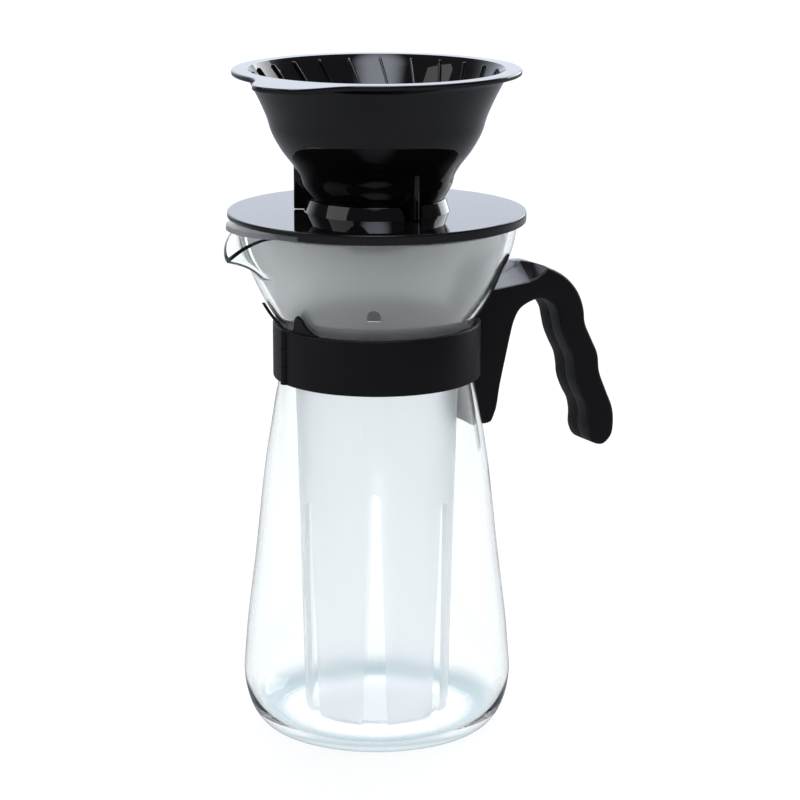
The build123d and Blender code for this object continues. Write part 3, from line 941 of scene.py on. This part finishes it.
# Stage: a plain pale floor that runs out of view, soft studio lamps and a white room, with the
# camera where the object was photographed from.
floor_radius = 6.0
bpy.ops.object.select_all(action="DESELECT")
bpy.ops.mesh.primitive_circle_add(vertices=128, radius=floor_radius, fill_type="NGON")
floor = bpy.context.object
floor.name = "floor"

view_direction = Vector((0.4772, 0.8788, 0))
sweep_sides = (0.6, 1.1)
sweep_front = (-0.6, -0.1)
sweep_low = 0.5
sweep_white = (1.13, 1.15, 1.16)
paper_white = 1.8
paper_white_share = 0.5
first_pass = 0.5


def towards(start, place, direction):
    """How far a place or a ray goes in a direction."""
    settings = {"operation": "DOT_PRODUCT"}
    return start.make("ShaderNodeVectorMath", settings, {0: place, 1: direction}, "Value")


def pale_floor():
    """White paper sweep that shows white, with a trace of the object's shadow and dark flags beside it."""
    material, shader, start = finish("pale_floor", {"Base Color": (0.19, 0.19, 0.19, 1), "Roughness": 0.9})
    place = start.make("ShaderNodeTexCoord", {}, {}, "Object")
    across = start.make("ShaderNodeVectorMath", {"operation": "CROSS_PRODUCT"}, {0: place, 1: view_direction})
    away = start.make("ShaderNodeVectorMath", {"operation": "LENGTH"}, {0: across}, "Value")
    ahead = towards(start, place, view_direction)
    wide = away.eased(*sweep_sides, 1.0, sweep_low)
    seen_through = (wide * ahead.eased(*sweep_front, sweep_low)).colours((0, 0, 0), sweep_white)
    camera_ray = start.make("ShaderNodeLightPath", {}, {}, "Is Camera Ray")
    depth = start.make("ShaderNodeLightPath", {}, {}, "Transmission Depth")
    through_ray = start.maths("GREATER_THAN", depth, first_pass)
    white = start.make("ShaderNodeEmission", {}, {"Color": (1, 1, 1, 1), "Strength": paper_white})
    sweep = start.make("ShaderNodeEmission", {}, {"Color": seen_through, "Strength": 1.0})
    paper = Value(start.tree, shader.outputs[0])
    plain = start.make("ShaderNodeMixShader", {}, {0: camera_ray * paper_white_share, 1: paper, 2: white})
    mixed(start, through_ray, plain, sweep)
    return material


floor.data.materials.append(pale_floor())

backdrop_edges = (0.35, 0.9)
backdrop_glow = (0.08, 1.5)
backdrop_low = 0.55
room_tone = (0.91, 0.98, 1.1)
key_direction = Vector((-0.38, -0.61, 1.08)).normalized()
key_spread = radians(22)
key_glow = 5.0
top_direction = Vector((0.2, 0.28, 0.94)).normalized()
top_spread = radians(27)
top_glow = 8.0
world = bpy.data.worlds.new("studio")
bpy.context.scene.world = world
world.use_nodes = True
room = Value(world.node_tree)
background = world.node_tree.nodes["Background"]
facing = room.make("ShaderNodeTexCoord", {}, {}, "Generated")
far_side = towards(room, facing, view_direction).eased(*backdrop_edges, *backdrop_glow)
camera_ray = room.make("ShaderNodeLightPath", {}, {}, "Is Camera Ray")
depth = room.make("ShaderNodeLightPath", {}, {}, "Transmission Depth")
through_ray = room.maths("GREATER_THAN", depth, first_pass)


def soft_glow(direction, spread, strength):
    """A soft-edged round patch of light in the room."""
    return towards(room, facing, direction).eased(cos(spread), 1.0, 0.0, strength)


through = room.maths("MAXIMUM", far_side, backdrop_low)
lit = far_side + soft_glow(key_direction, key_spread, key_glow)
lit = lit + soft_glow(top_direction, top_spread, top_glow)
level = lit + through_ray * (through - lit)
walls = level.colours((0, 0, 0), room_tone)
shown = room.make("ShaderNodeMix", {"data_type": "RGBA"}, {0: camera_ray, 6: walls, 7: (1, 1, 1, 1)}, 2)
world.node_tree.links.new(shown.socket, background.inputs["Color"])


def soft_lamp(name, place, target, width, height, power):
    """A soft box that faces a target."""
    bpy.ops.object.light_add(type="AREA", location=place)
    lamp = bpy.context.object
    lamp.name = name
    lamp.data.shape = "RECTANGLE"
    lamp.data.size = width
    lamp.data.size_y = height
    lamp.data.energy = power
    lamp.rotation_euler = (Vector(target) - Vector(place)).to_track_quat("-Z", "Y").to_euler()
    return lamp


middle = (0, 0, 0.15)
soft_lamp("left_lamp", (-1.2, 0.2, 0.9), middle, 0.9, 1.0, 4.0)
soft_lamp("right_lamp", (1.3, 0.5, 0.6), middle, 0.9, 0.9, 7.0)

camera_place = Vector((-0.5521, -1.0168, 0.4256))
camera_pitch = radians(90 - 13.624)
camera_azimuth = radians(-28.5)
camera_lens = 122.72
axis_shift = 0.0291
bpy.ops.object.camera_add(location=camera_place, rotation=(camera_pitch, 0, camera_azimuth))
camera = bpy.context.object
camera.data.lens = camera_lens
camera.data.sensor_width = 36.0
camera.data.shift_x = axis_shift
camera.data.clip_start = 0.01
bpy.context.scene.camera = camera
bpy.context.scene.view_settings.view_transform = "Standard"
